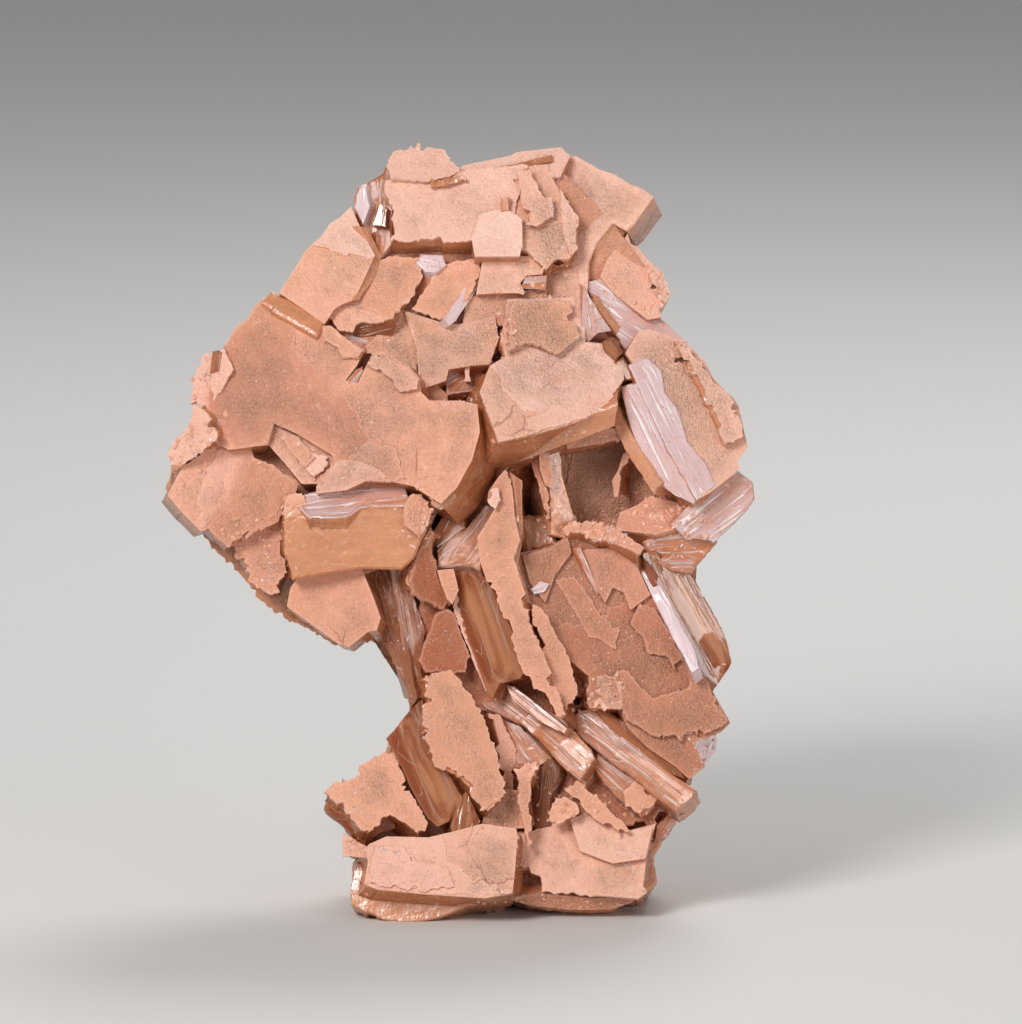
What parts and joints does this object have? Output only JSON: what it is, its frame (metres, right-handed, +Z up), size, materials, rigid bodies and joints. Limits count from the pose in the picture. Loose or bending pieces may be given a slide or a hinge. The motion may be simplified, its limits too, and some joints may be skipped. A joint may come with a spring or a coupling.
{
  "type": "stolzite crystal cluster",
  "caption": "Upright cluster of intergrown tabular stolzite crystals, peach-crusted over honey-coloured crystal, resting on a flat-cut underside.",
  "frame": {"origin": "middle of the cluster's width and depth, on the ground under its flat-cut underside", "axes": "+Z up, -Y out of the display face towards the viewer, +X to the viewer's right"},
  "size_m": [0.0474, 0.032, 0.0611],
  "materials": {
    "stolzite_crust": "matte sandy crust over satin honey-coloured crystal"
  },
  "bodies": {
    "root": {"crystal_cluster": "stolzite_crust"}
  },
  "joints": []
}
